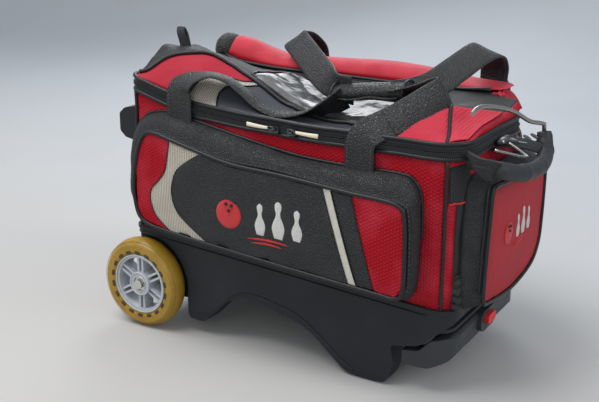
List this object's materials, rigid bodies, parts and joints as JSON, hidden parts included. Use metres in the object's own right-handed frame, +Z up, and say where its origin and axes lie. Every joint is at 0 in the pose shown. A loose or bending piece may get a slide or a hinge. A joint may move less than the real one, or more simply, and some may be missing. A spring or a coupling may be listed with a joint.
{
  "type": "bowling ball bag",
  "caption": "Wheeled bowling ball bag: moulded base, two wheels, telescopic pull handle, zipped fabric body with pockets, domed lid and carry straps.",
  "frame": {"origin": "on the floor, under the centre of the bounding box", "axes": "+X along the bag from the wheels to the pull grip, -Y the front with the double zip, +Z up"},
  "size_m": [0.5675, 0.32, 0.3951],
  "materials": {
    "base_plastic": "moulded, fine grain",
    "grip_plastic": "moulded, satin",
    "foot_rubber": "matt",
    "urethane": "clear amber, satin",
    "hub_plastic": "satin grey",
    "bearing_steel": "turned",
    "tube_aluminium": "drawn",
    "button_red": "gloss",
    "red_fabric": "ribbed nylon",
    "pocket_face": "panelled nylon, mesh and leather grain",
    "black_mesh": "open mesh",
    "black_leather": "pebble grain",
    "piping_black": "corded edge",
    "zip_black": "woven tape and coil",
    "slider_metal": "black enamel",
    "pull_brass": "polished",
    "clear_vinyl": "glossy clear sheet",
    "webbing_black": "woven webbing",
    "grip_rubber": "matt",
    "wire_steel": "drawn wire",
    "floor_board": "flat board",
    "foam": "closed-cell foam"
  },
  "bodies": {
    "bag": {"base_tray": "base_plastic", "foot_pads": "foot_rubber", "stand_feet": "base_plastic", "axle": "bearing_steel", "axle_nuts": "bearing_steel", "axle_washers": "bearing_steel", "handle_outer_tubes": "tube_aluminium", "handle_tube_clamps": "base_plastic", "front_panel": "red_fabric", "back_panel": "red_fabric", "left_panel": "red_fabric", "right_panel": "black_mesh", "corner_piping": "piping_black", "floor_board": "floor_board", "ball_cradle": "foam", "floor_rivets": "bearing_steel", "zip_lower_tape": "zip_black", "zip_lower_coil": "zip_black", "rear_pocket_shell": "black_mesh", "lid_hinge_tape": "piping_black", "front_pocket_gusset": "black_leather", "back_pocket_gusset": "black_leather", "end_pocket_gusset": "black_mesh", "front_strap_anchors": "black_leather", "back_strap_anchors": "black_leather", "end_handle_tabs": "webbing_black"},
    "front_wheel": {"front_wheel_hub": "hub_plastic", "front_wheel_tyre": "urethane", "front_wheel_bearings": "bearing_steel"},
    "back_wheel": {"back_wheel_hub": "hub_plastic", "back_wheel_tyre": "urethane", "back_wheel_bearings": "bearing_steel"},
    "mid_stage": {"handle_mid_tubes": "tube_aluminium", "mid_tube_collars": "grip_plastic"},
    "grip_stage": {"handle_inner_tubes": "tube_aluminium", "pull_grip": "grip_plastic", "button_spring": "bearing_steel"},
    "button": {"release_button": "button_red"},
    "latch": {"latch_rods": "bearing_steel"},
    "lid": {"lid_panel": "red_fabric", "zip_upper_tape": "zip_black", "zip_upper_coil": "zip_black", "top_pouch": "black_mesh", "pouch_window": "clear_vinyl", "lid_piping": "piping_black", "lid_pull_tab": "webbing_black"},
    "left_slider": {"left_zip_slider": "slider_metal"},
    "left_pull": {"left_zip_pull": "pull_brass"},
    "right_slider": {"right_zip_slider": "slider_metal"},
    "right_pull": {"right_zip_pull": "pull_brass"},
    "front_handle": {"front_handle_strap": "black_leather", "handle_wrap": "black_leather"},
    "rear_flap": {"rear_flap": "red_fabric"},
    "back_handle": {"back_handle_strap": "black_leather"},
    "front_pocket": {"front_pocket_panel": "pocket_face", "front_pocket_rain_flap": "black_leather"},
    "back_pocket": {"back_pocket_panel": "pocket_face"},
    "end_pocket": {"end_pocket_panel": "red_fabric"},
    "end_handle": {"end_handle_grip": "grip_rubber", "end_handle_wire": "wire_steel"}
  },
  "joints": [
    {"name": "front_wheel_spin", "type": "hinge", "parent": "bag", "child": "front_wheel", "pos_m": [-0.224, -0.135, 0.0625], "axis": [0, 1, 0], "continuous": true},
    {"name": "back_wheel_spin", "type": "hinge", "parent": "bag", "child": "back_wheel", "pos_m": [-0.224, 0.135, 0.0625], "axis": [0, 1, 0], "continuous": true},
    {"name": "handle_first_stage", "type": "slide", "parent": "bag", "child": "mid_stage", "axis": [1, 0, 0], "range_m": [0, 0.3]},
    {"name": "handle_second_stage", "type": "slide", "parent": "mid_stage", "child": "grip_stage", "axis": [1, 0, 0], "range_m": [0, 0.3]},
    {"name": "release_button_press", "type": "slide", "parent": "grip_stage", "child": "button", "axis": [-1, 0, 0], "range_m": [0, 0.004], "stiffness_N_per_m": 200, "springref_m": -0.001},
    {"name": "latch_release", "type": "slide", "parent": "grip_stage", "child": "latch", "axis": [-1, 0, 0], "range_m": [0, 0.004]},
    {"name": "lid_open", "type": "hinge", "parent": "bag", "child": "lid", "pos_m": [0, 0.058, 0.33], "axis": [-1, 0, 0], "range_deg": [0, 28]},
    {"name": "front_handle_swing", "type": "hinge", "parent": "bag", "child": "front_handle", "pos_m": [-0.156, -0.135, 0.33], "axis": [0.997, 0, -0.0779], "range_deg": [0, 117.6]},
    {"name": "rear_flap_open", "type": "hinge", "parent": "bag", "child": "rear_flap", "pos_m": [0, 0.1272, 0.331], "axis": [-1, 0, 0], "range_deg": [0, 80]},
    {"name": "back_handle_swing", "type": "hinge", "parent": "rear_flap", "child": "back_handle", "pos_m": [0, 0.1315, 0.333], "axis": [-1, 0, 0], "range_deg": [0, 39.2]},
    {"name": "left_slider_run", "type": "slide", "parent": "bag", "child": "left_slider", "axis": [-0.9983, 0, 0.0579], "range_m": [0, 0.08]},
    {"name": "left_pull_lift", "type": "hinge", "parent": "left_slider", "child": "left_pull", "pos_m": [-0.02, -0.1345, 0.30008], "axis": [0, 0, 1], "range_deg": [0, 80]},
    {"name": "right_slider_run", "type": "slide", "parent": "bag", "child": "right_slider", "axis": [1, 0, 0], "range_m": [0, 0.035]},
    {"name": "right_pull_lift", "type": "hinge", "parent": "right_slider", "child": "right_pull", "pos_m": [0.012, -0.1345, 0.2995], "axis": [0, 0, -1], "range_deg": [0, 80]},
    {"name": "front_pocket_open", "type": "hinge", "parent": "bag", "child": "front_pocket", "pos_m": [-0.219, -0.15745, 0.156], "axis": [0.9974, 0, -0.0714], "range_deg": [0, 70]},
    {"name": "back_pocket_open", "type": "hinge", "parent": "bag", "child": "back_pocket", "pos_m": [-0.219, 0.15745, 0.156], "axis": [-0.9974, 0, 0.0714], "range_deg": [0, 70]},
    {"name": "end_pocket_open", "type": "hinge", "parent": "bag", "child": "end_pocket", "pos_m": [0.24395, 0, 0.118], "axis": [0, 1, 0], "range_deg": [0, 60]},
    {"name": "end_handle_swing", "type": "hinge", "parent": "bag", "child": "end_handle", "pos_m": [0.248, 0, 0.32], "axis": [0, -1, 0], "range_deg": [0, 12]}
  ],
  "couplings": [
    {"joint": "front_handle_swing", "follows": "lid_open", "ratio": 4.2},
    {"joint": "back_handle_swing", "follows": "lid_open", "ratio": 1.4},
    {"joint": "latch_release", "follows": "release_button_press", "ratio": 1}
  ]
}
